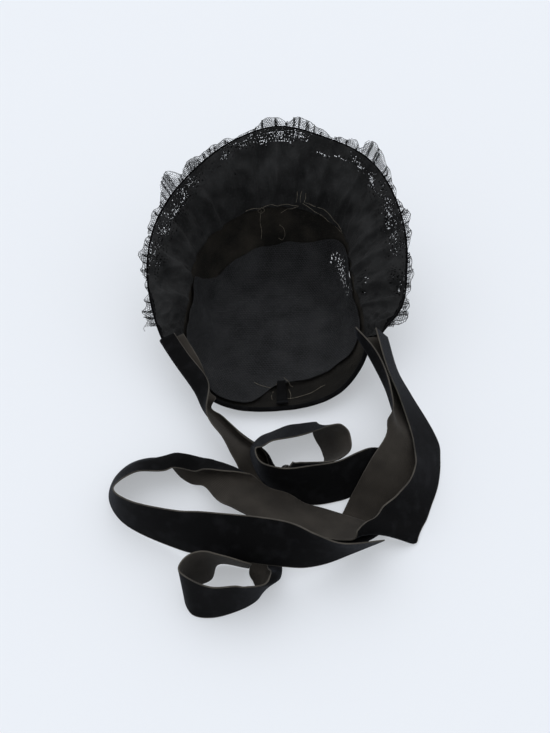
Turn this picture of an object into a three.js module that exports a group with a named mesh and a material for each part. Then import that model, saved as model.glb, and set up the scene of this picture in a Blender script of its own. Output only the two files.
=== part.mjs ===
// Poke bonnet lying on its crown tip, with its ribbon ties laid out in front of it.
// Millimetres, +Z up. The origin is on the floor under the middle of the crown tip.
// +Y points away from the viewer and +X to the right.
import * as THREE from 'three';

// Driving dimensions
const CROWN_WALL = 1.6;
const BRIM_WALL = 1.8;
const THIN_WALL = 1.0;
const GAP = 0.45;
const WIRE_RADIUS = 1.3;
const BINDING_RADIUS = 2.2;
const RIM_HEIGHT = 61;
const RIM_SLOPE = 0.49;
const BRIM_LEFT = -119;
const BRIM_RIGHT = 121;
const TIP_SHARE = 0.42;
const TAB_WIDTH = 10;
const RIBBON_WIDTH = 38;
const RIBBON_WALL = 1.2;
const RIBBON_BEND = 8;
const RIBBON_CLEARANCE = 0.2;

// Facets
const AROUND_CROWN = 44;
const AROUND_BRIM = 52;
const AROUND_RUCHE = 84;
const AROUND_FRILL = 112;
const TUBE_SIDES = 6;
const STATIONS_PER_ROW = 8;
const STATION_STEP = 4;

// Crown and brim: one row per direction, in degrees from +Y towards +X.
// patch is the radius of the flat that rests on the floor, bend the radius where the wall turns up,
// edge and height place the crown's edge, and rim is the radius of the wired edge in its plane.
const SECTIONS = [
  { angle: -180, patch: 58, bend: 88, edge: 112, height: 8, rim: 116 },
  { angle: -154, patch: 58, bend: 88, edge: 117, height: 10, rim: 119 },
  { angle: -136, patch: 56, bend: 84, edge: 110, height: 20, rim: 115 },
  { angle: -120, patch: 54, bend: 78, edge: 97, height: 26, rim: 114 },
  { angle: -105, patch: 52, bend: 74, edge: 86, height: 31, rim: 113 },
  { angle: -90, patch: 52, bend: 74, edge: 80, height: 37, rim: 114 },
  { angle: -70, patch: 54, bend: 80, edge: 84, height: 42, rim: 115 },
  { angle: -42, patch: 58, bend: 88, edge: 89, height: 48, rim: 114 },
  { angle: -18, patch: 60, bend: 92, edge: 90, height: 56, rim: 119 },
  { angle: 0, patch: 60, bend: 92, edge: 90, height: 58, rim: 124 },
  { angle: 20, patch: 60, bend: 92, edge: 90, height: 56, rim: 122 },
  { angle: 42, patch: 58, bend: 88, edge: 90, height: 48, rim: 125 },
  { angle: 68, patch: 50, bend: 72, edge: 74, height: 42, rim: 118 },
  { angle: 90, patch: 48, bend: 67, edge: 71, height: 37, rim: 112 },
  { angle: 105, patch: 50, bend: 70, edge: 79, height: 31, rim: 111 },
  { angle: 120, patch: 52, bend: 74, edge: 90, height: 26, rim: 103 },
  { angle: 136, patch: 56, bend: 80, edge: 102, height: 21, rim: 104 },
  { angle: 154, patch: 58, bend: 86, edge: 110, height: 12, rim: 111 },
];

// Ruche: one row per deep fold. lean is how far the fold turns, in degrees, from the seam to the rim.
const FOLDS = [
  { angle: -116, width: 4, height: 3, lean: -4 },
  { angle: -98, width: 4, height: 5, lean: -3 },
  { angle: -84, width: 4, height: 6, lean: 2 },
  { angle: -68, width: 4, height: 5, lean: 3 },
  { angle: -52, width: 3, height: 4, lean: -6 },
  { angle: -38, width: 3, height: 6, lean: -8 },
  { angle: -24, width: 4, height: 4, lean: -3 },
  { angle: -13, width: 3, height: 6, lean: 0 },
  { angle: -1, width: 3, height: 6, lean: 1 },
  { angle: 9, width: 3, height: 5, lean: 2 },
  { angle: 23, width: 3, height: 5, lean: 1 },
  { angle: 36, width: 3, height: 4, lean: 6 },
  { angle: 50, width: 4, height: 5, lean: 4 },
  { angle: 64, width: 3, height: 4, lean: 2 },
  { angle: 76, width: 4, height: 7, lean: 3 },
  { angle: 91, width: 4, height: 6, lean: 4 },
  { angle: 102, width: 3, height: 5, lean: 3 },
  { angle: 115, width: 4, height: 3, lean: 2 },
];
const RIPPLE_COUNT = 30;
const RIPPLE_HEIGHT = 1.1;
const RUCHE_EDGE = 3;

// Net frill: one row per lobe that stands past the wire. reach is in mm, width in degrees.
const LOBES = [
  { angle: -112, width: 9, reach: 7 },
  { angle: -80, width: 9, reach: 5 },
  { angle: -62, width: 7, reach: 5 },
  { angle: -45, width: 10, reach: 10 },
  { angle: -24, width: 8, reach: 5 },
  { angle: -3, width: 8, reach: 12 },
  { angle: 15, width: 8, reach: 12 },
  { angle: 33, width: 7, reach: 6 },
  { angle: 49, width: 9, reach: 11 },
  { angle: 70, width: 8, reach: 5 },
  { angle: 92, width: 7, reach: 4 },
  { angle: 112, width: 8, reach: 7 },
];
const FRILL_REACH = 3;
const FRILL_SHORT = 3;
const RUFFLE_COUNT = 38;
const RUFFLE_HEIGHT = 2.2;

// Ribbon ties: one row per section along the ribbon, its points chosen from the photo.
// x y z is the middle of the section, az and el aim from there at the upper edge, in degrees.
// low and high curl the two halves towards the plain back, and at is where the low curl starts.
const ROUTE_COLUMNS = ['x', 'y', 'z', 'az', 'el', 'low', 'high', 'at'];
const LEFT_ROUTE = [
  [-98, -62, 37, 205, 12, 30, 150, 0],
  [-86, -81, 31, 205, 18, 30, 150, 0],
  [-68, -111, 26, 212, 58, 30, 90, 0],
  [-60, -126, 20, 262, 45, 150, 20, 14],
  [-39, -145, 14, 249, 42, 165, 0, 5],
  [-21, -162, 8, 218, 26, 170, 0, 9],
  [-10, -175, 3, 230, 6, 170, 0, 6],
  [2, -179, 4, 260, 8, 170, 0, 0],
  [14, -188, 17, 272, 66, 170, 0, 19],
  [42, -174, 16, 296, 54, 0, 0, 19],
  [47, -164, 15, 318, 48, 0, 0, 0],
  [45, -152, 16, 327, 50, 0, 0, 0],
  [39, -144, 16, 310, 53, 0, 0, 0],
  [32, -137, 14, 270, 42, 0, 0, 0],
  [15, -139, 12, 270, 37, 0, 0, 0],
  [-4, -150, 19, 270, 43, 0, 0, 0],
  [-14, -161, 25, 276, 44, 0, 0, 0],
  [-20, -174, 31, 280, 55, 0, 0, 0],
  [-14, -192, 29, 277, 72, 0, 0, 0],
  [4, -201, 23, 115, 88, 0, 0, 0],
  [27, -200, 20, 93, 72, 0, 0, 0],
  [48, -195, 19, 98, 71, 0, 0, 0],
  [66, -186, 18, 95, 63, 0, 0, 0],
  [84, -181, 13, 100, 30, 0, 0, 0],
  [104, -175, 5, 95, 8, 0, 0, 0],
];
const RIGHT_LOWER_ROUTE = [
  [71, -58, 37, 195, 14, 10, 70, 0],
  [81, -84, 34, 198, 25, -35, 80, 0],
  [90, -112, 32, 205, 45, -25, 60, 0],
  [95, -138, 32, 212, 60, 0, 20, 0],
  [102, -162, 25, 160, 33, 0, 5, 19],
  [88, -189, 20, 157, 24, 0, 0, 19],
  [75, -208, 5, 148, 10, 170, 0, 19],
  [60, -234, 2, 146, 0, 170, 0, 9],
  [38, -243, 2, 124, 0, 172, 0, 4],
  [-2, -258, 3, 145, 0, 172, 0, 3],
  [-3, -268, 5, 165, -12, 172, 0, 3],
  [-3, -280, 13, 165, -36, 160, 0, 4],
  [-8, -292, 19, 132, -66, 90, 0, 11],
  [-18, -298, 19, 93, -76, 0, 0, 19],
  [-31, -302, 20, 100, -87, 0, 0, 0],
  [-49, -305, 20, 254, -86, 0, 0, 0],
  [-64, -300, 20, 274, -80, 0, 0, 0],
  [-71, -289, 20, 350, -86, 0, 0, 0],
  [-66, -280, 20, 345, -82, 0, 0, 0],
  [-55, -274, 20, 0, -78, 0, 0, 0],
  [-45, -268, 19, 100, -68, 0, 0, 0],
  [-21, -273, 18, 99, -61, 0, 0, 0],
];
const RIGHT_UPPER_ROUTE = [
  [88, -56, 42, 235, 54, 0, 0, 0],
  [96, -90, 32, 243, 48, 0, 0, 0],
  [105, -111, 25, 241, 44, 0, 0, 0],
  [119, -148, 14, 229, 36, 0, 0, 0],
  [120, -172, 14, 229, 40, 0, 0, 0],
  [115, -194, 14, 221, 42, 0, 0, 0],
  [107, -210, 14, 208, 43, 0, 0, 0],
  [97, -225, 14, 190, 39, 0, 0, 0],
  [84, -244, 18, 184, 38, 0, 0, 0],
  [62, -242, 18, 240, 30, 0, 0, 0],
  [31, -229, 12, 249, 21, 0, 0, 0],
  [10, -223, 16, 250, 22, 0, 0, 0],
  [-12, -217, 20, 260, 15, 60, 0, 15],
  [-32, -202, 20, 252, 10, 150, 0, 9],
  [-50, -179, 17, 238, -16, 155, 0, 0],
  [-71, -172, 15, 255, -55, 145, 0, 1],
  [-95, -170, 13, 97, -55, 50, 0, 0],
  [-114, -175, 15, 104, -50, 25, 0, 0],
  [-127, -190, 17, 112, -55, 15, 0, 0],
  [-130, -209, 18, 115, -63, 0, 0, 0],
  [-118, -225, 20, 139, -77, 0, 0, 0],
  [-77, -243, 22, 251, -76, 0, 0, 0],
  [-53, -251, 28, 254, -67, 0, 0, 0],
  [2, -265, 36, 257, -62, 0, 0, 0],
  [27, -267, 31, 313, -84, 0, 0, 0],
  [51, -264, 28, 59, -64, 0, 0, 0],
  [76, -257, 26, 100, -60, 0, 0, 0],
];
const ACROSS_RIBBON = [-1, -0.72, -0.42, 0, 0.36, 0.7, 1];

const COLOURS = {
  crown: { color: 0x17150f, roughness: 0.95 },
  brim: { color: 0x19191a, roughness: 0.9 },
  ruche: { color: 0x1c1d1e, roughness: 0.85 },
  net: { color: 0x0d0e10, roughness: 0.9 },
  lining: { color: 0x202327, roughness: 0.95 },
  velvet: { color: 0x0b0b0d, roughness: 0.8 },
};

const radians = THREE.MathUtils.degToRad;

function material(name) {
  return new THREE.MeshStandardMaterial({ ...COLOURS[name], metalness: 0, name });
}

// Closed solid from a list of triangles, turned so that its faces look outward
function solid(name, triangles, look) {
  const faces = triangles.filter(([a, b, c]) => {
    const side = new THREE.Vector3().subVectors(b, a).cross(new THREE.Vector3().subVectors(c, a));
    return side.length() > 1e-7;
  });
  const volume = faces.reduce((sum, [a, b, c]) => sum + a.dot(b.clone().cross(c)), 0);
  const points = faces.flatMap(([a, b, c]) => (volume > 0 ? [a, b, c] : [a, c, b]));
  const geometry = new THREE.BufferGeometry().setFromPoints(points);
  geometry.computeVertexNormals();
  const mesh = new THREE.Mesh(geometry, material(look));
  mesh.name = name;
  return mesh;
}

function quad(a, b, c, d) {
  return [[a, b, c], [a, c, d]];
}

// Wall between an outer and an inner grid of points; round joins the last column to the first
function wall(outer, inner, round) {
  const triangles = [];
  const columns = outer.length;
  const last = outer[0].length - 1;
  const steps = round ? columns : columns - 1;
  for (let i = 0; i < steps; i += 1) {
    const k = (i + 1) % columns;
    for (let j = 0; j < last; j += 1) {
      triangles.push(...quad(outer[i][j], outer[k][j], outer[k][j + 1], outer[i][j + 1]));
      triangles.push(...quad(inner[i][j], inner[i][j + 1], inner[k][j + 1], inner[k][j]));
    }
    triangles.push(...quad(outer[i][0], inner[i][0], inner[k][0], outer[k][0]));
    triangles.push(...quad(outer[i][last], outer[k][last], inner[k][last], inner[i][last]));
  }
  if (!round) {
    for (let j = 0; j < last; j += 1) {
      const end = columns - 1;
      triangles.push(...quad(outer[0][j], outer[0][j + 1], inner[0][j + 1], inner[0][j]));
      triangles.push(...quad(outer[end][j], inner[end][j], inner[end][j + 1], outer[end][j + 1]));
    }
  }
  return triangles;
}

// Round bar along a list of points
function bar(path, radius) {
  const rings = path.map((point, i) => {
    const before = path[Math.max(i - 1, 0)];
    const after = path[Math.min(i + 1, path.length - 1)];
    const along = new THREE.Vector3().subVectors(after, before).normalize();
    const side = new THREE.Vector3(0, 0, 1).cross(along).normalize();
    const up = along.clone().cross(side);
    return Array.from({ length: TUBE_SIDES }, (_, k) => {
      const turn = (2 * Math.PI * k) / TUBE_SIDES;
      const offset = side.clone().multiplyScalar(radius * Math.cos(turn));
      return point.clone().add(offset).addScaledVector(up, radius * Math.sin(turn));
    });
  });
  const triangles = [];
  for (let i = 0; i < rings.length - 1; i += 1) {
    for (let k = 0; k < TUBE_SIDES; k += 1) {
      const n = (k + 1) % TUBE_SIDES;
      triangles.push(...quad(rings[i][k], rings[i + 1][k], rings[i + 1][n], rings[i][n]));
    }
  }
  const end = rings[rings.length - 1];
  for (let k = 1; k < TUBE_SIDES - 1; k += 1) {
    triangles.push([rings[0][0], rings[0][k], rings[0][k + 1]]);
    triangles.push([end[0], end[k + 1], end[k]]);
  }
  return triangles;
}

// Smooth value of one column of the section table in any direction
function around(key, angle) {
  const turn = THREE.MathUtils.euclideanModulo(angle + 180, 360) - 180;
  const count = SECTIONS.length;
  const row = (i) => {
    const lap = Math.floor(i / count);
    const section = SECTIONS[i - lap * count];
    return { at: section.angle + 360 * lap, value: section[key] };
  };
  let i = 0;
  while (row(i + 1).at <= turn) {
    i += 1;
  }
  const [a, b, c, d] = [row(i - 1), row(i), row(i + 1), row(i + 2)];
  const span = c.at - b.at;
  const leave = ((c.value - a.value) / (c.at - a.at)) * span;
  const arrive = ((d.value - b.value) / (d.at - b.at)) * span;
  const s = (turn - b.at) / span;
  const rise = 3 * s * s - 2 * s * s * s;
  const start = s * s * s - 2 * s * s + s;
  const stop = s * s * s - s * s;
  return b.value * (1 - rise) + c.value * rise + start * leave + stop * arrive;
}

function bend(from, by, to, t) {
  return (1 - t) ** 2 * from + 2 * t * (1 - t) * by + t ** 2 * to;
}

function outward(angle, radius, height) {
  const turn = radians(angle);
  return new THREE.Vector3(radius * Math.sin(turn), radius * Math.cos(turn), height);
}

// Outer face of the crown wall: t runs from the flat patch at 0 to the crown's edge at 1
function crownPoint(angle, t) {
  const patch = around('patch', angle);
  if (t < 0) {
    return outward(angle, patch * (1 + t), 0);
  }
  const radius = bend(patch, around('bend', angle), around('edge', angle), t);
  return outward(angle, radius, bend(0, 0, around('height', angle), t));
}

// Outer face of the brim: t runs from the seam at 0 to the wired edge at 1 and past it
const FLARE_OUT = 0.35;
const FLARE_UP = 0.55;
function brimPoint(angle, t) {
  const seam = around('edge', angle);
  const foot = around('height', angle);
  const rim = around('rim', angle);
  const top = RIM_HEIGHT + RIM_SLOPE * rim * Math.cos(radians(angle));
  const radius = bend(seam, seam + FLARE_OUT * (rim - seam), rim, t);
  return outward(angle, radius, bend(foot, foot + FLARE_UP * (top - foot), top, t));
}

function brimSlant(angle) {
  return brimPoint(angle, 0).distanceTo(brimPoint(angle, 1));
}

// Unit vector out of a surface that is given as a function of angle and t
const SMALL_ANGLE = 0.2;
const SMALL_STEP = 0.002;
function facing(surface, angle, t) {
  const round = surface(angle + SMALL_ANGLE, t).sub(surface(angle - SMALL_ANGLE, t));
  const up = surface(angle, t + SMALL_STEP).sub(surface(angle, t - SMALL_STEP));
  return up.cross(round).normalize();
}

// Grid of points at some depth inside a surface
function grid(surface, angles, steps, depth) {
  return angles.map((angle) => steps.map((step) => {
    const t = typeof step === 'function' ? step(angle) : step;
    const inset = typeof depth === 'function' ? depth(angle, t) : depth;
    return surface(angle, t).addScaledVector(facing(surface, angle, t), -inset);
  }));
}

function spread(from, to, count) {
  return Array.from({ length: count + 1 }, (_, i) => from + ((to - from) * i) / count);
}

function ring(count) {
  return spread(-180, 180, count).slice(0, count);
}

const SHARE_GAP = 0.004;
const TIP_STEPS = [-1, -0.5, -0.02, 0.14, 0.28];

function crownTip() {
  const angles = ring(AROUND_CROWN);
  const steps = [...TIP_STEPS, TIP_SHARE - SHARE_GAP];
  const outer = grid(crownPoint, angles, steps, 0);
  const inner = grid(crownPoint, angles, steps, CROWN_WALL);
  outer.forEach((column) => column[0].set(0, 0, 0));
  inner.forEach((column) => column[0].set(0, 0, CROWN_WALL));
  return solid('crown_tip', wall(outer, inner, true), 'crown');
}

function crownSide() {
  const angles = ring(AROUND_CROWN);
  const steps = spread(TIP_SHARE + SHARE_GAP, 1, 5);
  const outer = grid(crownPoint, angles, steps, 0);
  const inner = grid(crownPoint, angles, steps, CROWN_WALL);
  return solid('crown_side', wall(outer, inner, true), 'crown');
}

const LINING_SHARE = 0.4;
function tipLining() {
  const angles = ring(AROUND_CROWN);
  const steps = [...TIP_STEPS, LINING_SHARE];
  const under = CROWN_WALL + GAP;
  const outer = grid(crownPoint, angles, steps, under);
  const inner = grid(crownPoint, angles, steps, under + THIN_WALL);
  outer.forEach((column) => column[0].set(0, 0, under));
  inner.forEach((column) => column[0].set(0, 0, under + THIN_WALL));
  return solid('tip_lining', wall(outer, inner, true), 'lining');
}

function brim() {
  const angles = spread(BRIM_LEFT, BRIM_RIGHT, AROUND_BRIM);
  const foot = (angle) => GAP / brimSlant(angle);
  const top = (angle) => 1 - (WIRE_RADIUS + GAP) / brimSlant(angle);
  const steps = [foot, 0.25, 0.5, 0.72, top];
  const outer = grid(brimPoint, angles, steps, 0);
  const inner = grid(brimPoint, angles, steps, BRIM_WALL);
  return solid('brim', wall(outer, inner, false), 'brim');
}

function edgeWire() {
  const path = spread(BRIM_LEFT, BRIM_RIGHT, AROUND_BRIM).map((angle) => (
    brimPoint(angle, 1).addScaledVector(facing(brimPoint, angle, 1), -BRIM_WALL / 2)
  ));
  return solid('edge_wire', bar(path, WIRE_RADIUS), 'velvet');
}

// Height of the gathered cloth over the brim
function foldHeight(angle, t) {
  const ripple = RIPPLE_HEIGHT * (1 - Math.cos(radians(angle * RIPPLE_COUNT) * 0.5));
  const folds = FOLDS.reduce((sum, fold) => {
    const away = (angle - fold.angle - fold.lean * t) / fold.width;
    return sum + fold.height * Math.exp(-away * away);
  }, 0);
  const swell = Math.sin(Math.PI * (0.15 + 0.7 * THREE.MathUtils.clamp(t, 0, 1)));
  return (ripple + folds) * swell;
}

function brimRuche() {
  const angles = spread(BRIM_LEFT + 1, BRIM_RIGHT - 1, AROUND_RUCHE);
  const foot = (angle) => (2 * GAP) / brimSlant(angle);
  const top = (angle) => 1 - RUCHE_EDGE / brimSlant(angle);
  const steps = [foot, 0.3, 0.52, 0.74, top];
  const under = BRIM_WALL + GAP;
  const outer = grid(brimPoint, angles, steps, (angle, t) => under + foldHeight(angle, t));
  const inner = grid(brimPoint, angles, steps, (angle, t) => under + THIN_WALL + foldHeight(angle, t));
  return solid('brim_ruche', wall(outer, inner, false), 'ruche');
}

function lobeReach(angle) {
  return LOBES.reduce((sum, lobe) => {
    const away = (angle - lobe.angle) / lobe.width;
    return sum + lobe.reach * Math.exp(-away * away);
  }, FRILL_REACH);
}

function netFrill() {
  const angles = spread(BRIM_LEFT + FRILL_SHORT, BRIM_RIGHT - FRILL_SHORT, AROUND_FRILL);
  const start = WIRE_RADIUS + GAP;
  const out = (share) => (angle) => 1 + (start + share * lobeReach(angle)) / brimSlant(angle);
  const steps = [out(0), out(0.5), out(1)];
  const ruffle = (angle, t) => {
    const past = (t - 1) * brimSlant(angle) - start;
    const swing = past / (FRILL_REACH + past);
    return BRIM_WALL / 2 + RUFFLE_HEIGHT * swing * Math.sin(radians(angle * RUFFLE_COUNT));
  };
  const outer = grid(brimPoint, angles, steps, (angle, t) => ruffle(angle, t) - THIN_WALL / 2);
  const inner = grid(brimPoint, angles, steps, (angle, t) => ruffle(angle, t) + THIN_WALL / 2);
  return solid('net_frill', wall(outer, inner, false), 'net');
}

// Velvet roll along the nape, just past the crown's edge
const NAPE_STEPS = 26;
const NAPE_SHORT = 3;
function napeBinding() {
  const path = spread(BRIM_RIGHT + NAPE_SHORT, 360 + BRIM_LEFT - NAPE_SHORT, NAPE_STEPS).map((angle) => {
    const edge = crownPoint(angle, 1);
    const on = edge.clone().sub(crownPoint(angle, 1 - SMALL_STEP)).normalize();
    const inset = facing(crownPoint, angle, 1).multiplyScalar(-CROWN_WALL / 2);
    return edge.addScaledVector(on, BINDING_RADIUS + GAP).add(inset);
  });
  return solid('nape_binding', bar(path, BINDING_RADIUS), 'velvet');
}

// Tab at the middle of the nape, flat against the inside of the crown wall
const TAB_START = 0.5;
const TAB_END = 0.97;
function backTab() {
  const half = THREE.MathUtils.radToDeg(TAB_WIDTH / 2 / around('edge', 180));
  const angles = spread(178 - half, 178 + half, 2);
  const steps = spread(TAB_START, TAB_END, 4);
  const under = CROWN_WALL + GAP;
  const outer = grid(crownPoint, angles, steps, under);
  const inner = grid(crownPoint, angles, steps, under + RIBBON_WALL);
  return solid('back_tab', wall(outer, inner, false), 'velvet');
}

// Smooth run through rows of numbers, spaced by the square root of their distance
function smoothRows(rows, perRow) {
  const away = (a, b) => Math.sqrt(Math.hypot(a[0] - b[0], a[1] - b[1], a[2] - b[2]));
  const spans = rows.slice(1).map((row, i) => away(row, rows[i]));
  const slope = (i) => rows[i].map((value, k) => (rows[i + 1][k] - value) / spans[i]);
  const tangents = rows.map((row, i) => {
    if (i === 0) {
      return slope(0);
    }
    if (i === rows.length - 1) {
      return slope(i - 1);
    }
    const share = spans[i] / (spans[i] + spans[i - 1]);
    const before = slope(i - 1);
    return slope(i).map((value, k) => before[k] * share + value * (1 - share));
  });
  const out = [];
  for (let i = 0; i < rows.length - 1; i += 1) {
    for (let k = 0; k < perRow; k += 1) {
      const s = k / perRow;
      const rise = 3 * s * s - 2 * s * s * s;
      const start = (s * s * s - 2 * s * s + s) * spans[i];
      const stop = (s * s * s - s * s) * spans[i];
      out.push(rows[i].map((value, c) => (
        value * (1 - rise) + rows[i + 1][c] * rise + start * tangents[i][c] + stop * tangents[i + 1][c]
      )));
    }
  }
  out.push(rows[rows.length - 1]);
  return out;
}

// Place of a point that lies some way into a bend of the given angle
function intoBend(way, angle) {
  const turn = Math.abs(angle) < 1e-4 ? 1e-4 : angle;
  const radius = RIBBON_BEND / turn;
  const inside = THREE.MathUtils.clamp(way, 0, RIBBON_BEND) / radius;
  const past = Math.max(way - RIBBON_BEND, 0);
  return {
    along: Math.min(way, 0) + radius * Math.sin(inside) + past * Math.cos(turn),
    rise: radius * (1 - Math.cos(inside)) + past * Math.sin(turn),
  };
}

// Middle surface of a ribbon: one list of points across it for each station along it.
// velvetSide is 1 where the velvet is on the right of the way along the route, and -1 on the left.
const LEAST_SQUARENESS = 0.75;
function ribbonSurface(route, velvetSide) {
  const rows = route.map((numbers) => {
    const row = Object.fromEntries(ROUTE_COLUMNS.map((column, i) => [column, numbers[i]]));
    const [turn, slope] = [radians(row.az), radians(row.el)];
    const level = Math.cos(slope);
    const aim = [level * Math.cos(turn), level * Math.sin(turn), Math.sin(slope)];
    return [row.x, row.y, row.z, ...aim, row.low, row.high, row.at];
  });
  const stations = smoothRows(rows, STATIONS_PER_ROW);
  const middles = stations.map((station) => new THREE.Vector3(...station.slice(0, 3)));
  const half = RIBBON_WIDTH / 2;
  return stations.map((station, i) => {
    const before = middles[Math.max(i - 1, 0)];
    const after = middles[Math.min(i + 1, middles.length - 1)];
    const way = new THREE.Vector3().subVectors(after, before).normalize();
    const aim = new THREE.Vector3(...station.slice(3, 6)).normalize();
    const right = way.clone().cross(aim);
    const stretch = 1 / Math.max(right.length(), LEAST_SQUARENESS);
    const back = right.normalize().multiplyScalar(-velvetSide);
    const [low, high, at] = station.slice(6);
    return ACROSS_RIBBON.map((share) => {
      const skip = share < 0 ? Math.max(at, 0) : 0;
      const bent = intoBend(Math.abs(share) * half - skip, radians(share < 0 ? low : high));
      const reach = Math.sign(share) * (bent.along + skip) * stretch;
      return middles[i].clone().addScaledVector(aim, reach).addScaledVector(back, bent.rise);
    });
  });
}

// Lift of each station that would dip under the floor, eased along the ribbon
const EASING_ROUNDS = 3;
const EASING_REACH = 2;
function floorLift(surface) {
  const lowest = surface.map((points) => Math.min(...points.map((point) => point.z)));
  const need = lowest.map((z) => Math.max(RIBBON_CLEARANCE + RIBBON_WALL / 2 - z, 0));
  let lift = need;
  for (let round = 0; round < EASING_ROUNDS; round += 1) {
    const current = lift;
    lift = current.map((_, i) => {
      const near = spread(i - EASING_REACH, i + EASING_REACH, 2 * EASING_REACH);
      const inRange = near.map((k) => THREE.MathUtils.clamp(k, 0, current.length - 1));
      const sum = inRange.reduce((total, k) => total + current[k], 0);
      return Math.max(sum / near.length, need[i]);
    });
  }
  return lift;
}

function ribbon(name, route, velvetSide) {
  const surface = ribbonSurface(route, velvetSide);
  const lift = floorLift(surface);
  surface.forEach((points, i) => points.forEach((point) => point.setZ(point.z + lift[i])));
  const kept = surface.filter((_, i) => i % STATION_STEP === 0);
  const across = ACROSS_RIBBON.length - 1;
  const side = (sign) => kept.map((points, i) => points.map((point, j) => {
    const along = kept[Math.min(i + 1, kept.length - 1)][j].clone().sub(kept[Math.max(i - 1, 0)][j]);
    const over = points[Math.min(j + 1, across)].clone().sub(points[Math.max(j - 1, 0)]);
    const out = along.cross(over).normalize();
    return point.clone().addScaledVector(out, (sign * RIBBON_WALL) / 2);
  }));
  return solid(name, wall(side(1), side(-1), false), 'velvet');
}

const bonnet = new THREE.Group();
bonnet.add(
  crownTip(),
  crownSide(),
  brim(),
  edgeWire(),
  brimRuche(),
  netFrill(),
  tipLining(),
  napeBinding(),
  backTab(),
  ribbon('tie_left', LEFT_ROUTE, 1),
  ribbon('tie_right_lower', RIGHT_LOWER_ROUTE, 1),
  ribbon('tie_right_upper', RIGHT_UPPER_ROUTE, -1),
);

export default bonnet;
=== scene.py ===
# %% [markdown]
# # A black poke bonnet lying on its crown
#
# The bonnet is a small cap of stiffened cloth with a wired, flaring brim. Gathered
# cloth covers the inside of the brim, a ruffle of black net stands past the wire, and
# three lengths of velvet ribbon lie in loops in front of it.
#
# The lesson makes each of these in the order a milliner would: first the shapes that
# everything is cut on, then the cloths, then the pieces from the crown outward, and
# last the ribbons and the table. Lengths are in millimetres until a mesh is made.

# %% tools and frame
import math

import bpy
import numpy as np
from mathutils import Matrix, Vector


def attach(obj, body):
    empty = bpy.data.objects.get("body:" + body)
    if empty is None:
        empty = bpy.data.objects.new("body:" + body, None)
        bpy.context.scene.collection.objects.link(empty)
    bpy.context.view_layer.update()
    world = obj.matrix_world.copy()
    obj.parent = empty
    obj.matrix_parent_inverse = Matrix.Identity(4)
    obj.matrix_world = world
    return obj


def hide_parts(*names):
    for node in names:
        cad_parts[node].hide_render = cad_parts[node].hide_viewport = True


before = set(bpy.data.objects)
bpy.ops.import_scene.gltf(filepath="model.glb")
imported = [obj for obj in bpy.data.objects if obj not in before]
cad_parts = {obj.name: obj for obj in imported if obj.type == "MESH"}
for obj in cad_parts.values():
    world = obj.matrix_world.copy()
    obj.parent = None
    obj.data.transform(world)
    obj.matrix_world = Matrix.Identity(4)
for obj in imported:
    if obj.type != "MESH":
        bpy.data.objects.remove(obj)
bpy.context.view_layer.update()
MM = 0.001
print("CAD pieces:", sorted(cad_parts))

# %% [markdown]
# ## The block
#
# A milliner shapes the cap over a wooden block. Here the block is a table: for each
# direction round the crown it gives the flat that rests on the table top, where the
# wall turns up, the height of its edge and the radius of the wired rim. Smooth curves
# join the rows, so that every cloth can be laid on the same surface at its own depth.

# %% block table and its surfaces
COLUMNS = {"patch": 1, "bend": 2, "edge": 3, "height": 4, "rim": 5}
SECTIONS = np.array([
    [-180, 58, 88, 112, 8, 116],
    [-154, 58, 88, 117, 10, 119],
    [-136, 56, 84, 110, 20, 115],
    [-120, 54, 78, 97, 26, 114],
    [-105, 52, 74, 86, 31, 113],
    [-90, 52, 74, 80, 37, 114],
    [-70, 54, 80, 84, 42, 115],
    [-42, 58, 88, 89, 48, 114],
    [-18, 60, 92, 90, 56, 119],
    [0, 60, 92, 90, 58, 124],
    [20, 60, 92, 90, 56, 122],
    [42, 58, 88, 90, 48, 125],
    [68, 50, 72, 74, 42, 118],
    [90, 48, 67, 71, 37, 112],
    [105, 50, 70, 79, 31, 111],
    [120, 52, 74, 90, 26, 103],
    [136, 56, 80, 102, 21, 104],
    [154, 58, 86, 110, 12, 111],
], float)
RIM_HEIGHT, RIM_SLOPE = 61, 0.49
FLARE_OUT, FLARE_UP = 0.35, 0.55
BRIM_LEFT, BRIM_RIGHT = -119, 121


def hermite(a, b, leave, arrive, s):
    rise = 3 * s**2 - 2 * s**3
    return a * (1 - rise) + b * rise + (s**3 - 2 * s**2 + s) * leave + (s**3 - s**2) * arrive


def around(key, angle):
    """One column of the block table in any direction, in degrees from +Y towards +X."""
    turns = SECTIONS[:, 0]
    at = np.concatenate([turns - 360, turns, turns + 360])
    value = np.tile(SECTIONS[:, COLUMNS[key]], 3)
    slope = np.gradient(value)
    slope[1:-1] = (value[2:] - value[:-2]) / (at[2:] - at[:-2])
    turn = (np.asarray(angle, float) + 180) % 360 - 180
    i = np.searchsorted(at, turn, side="right") - 1
    span = at[i + 1] - at[i]
    s = (turn - at[i]) / span
    return hermite(value[i], value[i + 1], slope[i] * span, slope[i + 1] * span, s)


def bezier(start, by, end, t):
    return (1 - t) ** 2 * start + 2 * t * (1 - t) * by + t**2 * end


def outward(angle, radius, height):
    turn = np.radians(angle)
    return np.stack(np.broadcast_arrays(radius * np.sin(turn), radius * np.cos(turn), height), -1)


def crown_point(angle, t):
    """Outer face of the crown: t is -1 at its middle, 0 where the wall turns up, 1 at its edge."""
    patch = around("patch", angle)
    up = np.maximum(t, 0)
    radius = bezier(patch, around("bend", angle), around("edge", angle), up)
    radius = radius + patch * np.minimum(t, 0)
    return outward(angle, radius, bezier(0, 0, around("height", angle), up))


def brim_point(angle, t):
    """Outer face of the brim: t is 0 at the seam, 1 at the wired edge, and more past it."""
    seam, foot, rim = around("edge", angle), around("height", angle), around("rim", angle)
    top = RIM_HEIGHT + RIM_SLOPE * rim * np.cos(np.radians(angle))
    radius = bezier(seam, seam + FLARE_OUT * (rim - seam), rim, t)
    return outward(angle, radius, bezier(foot, foot + FLARE_UP * (top - foot), top, t))


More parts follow.
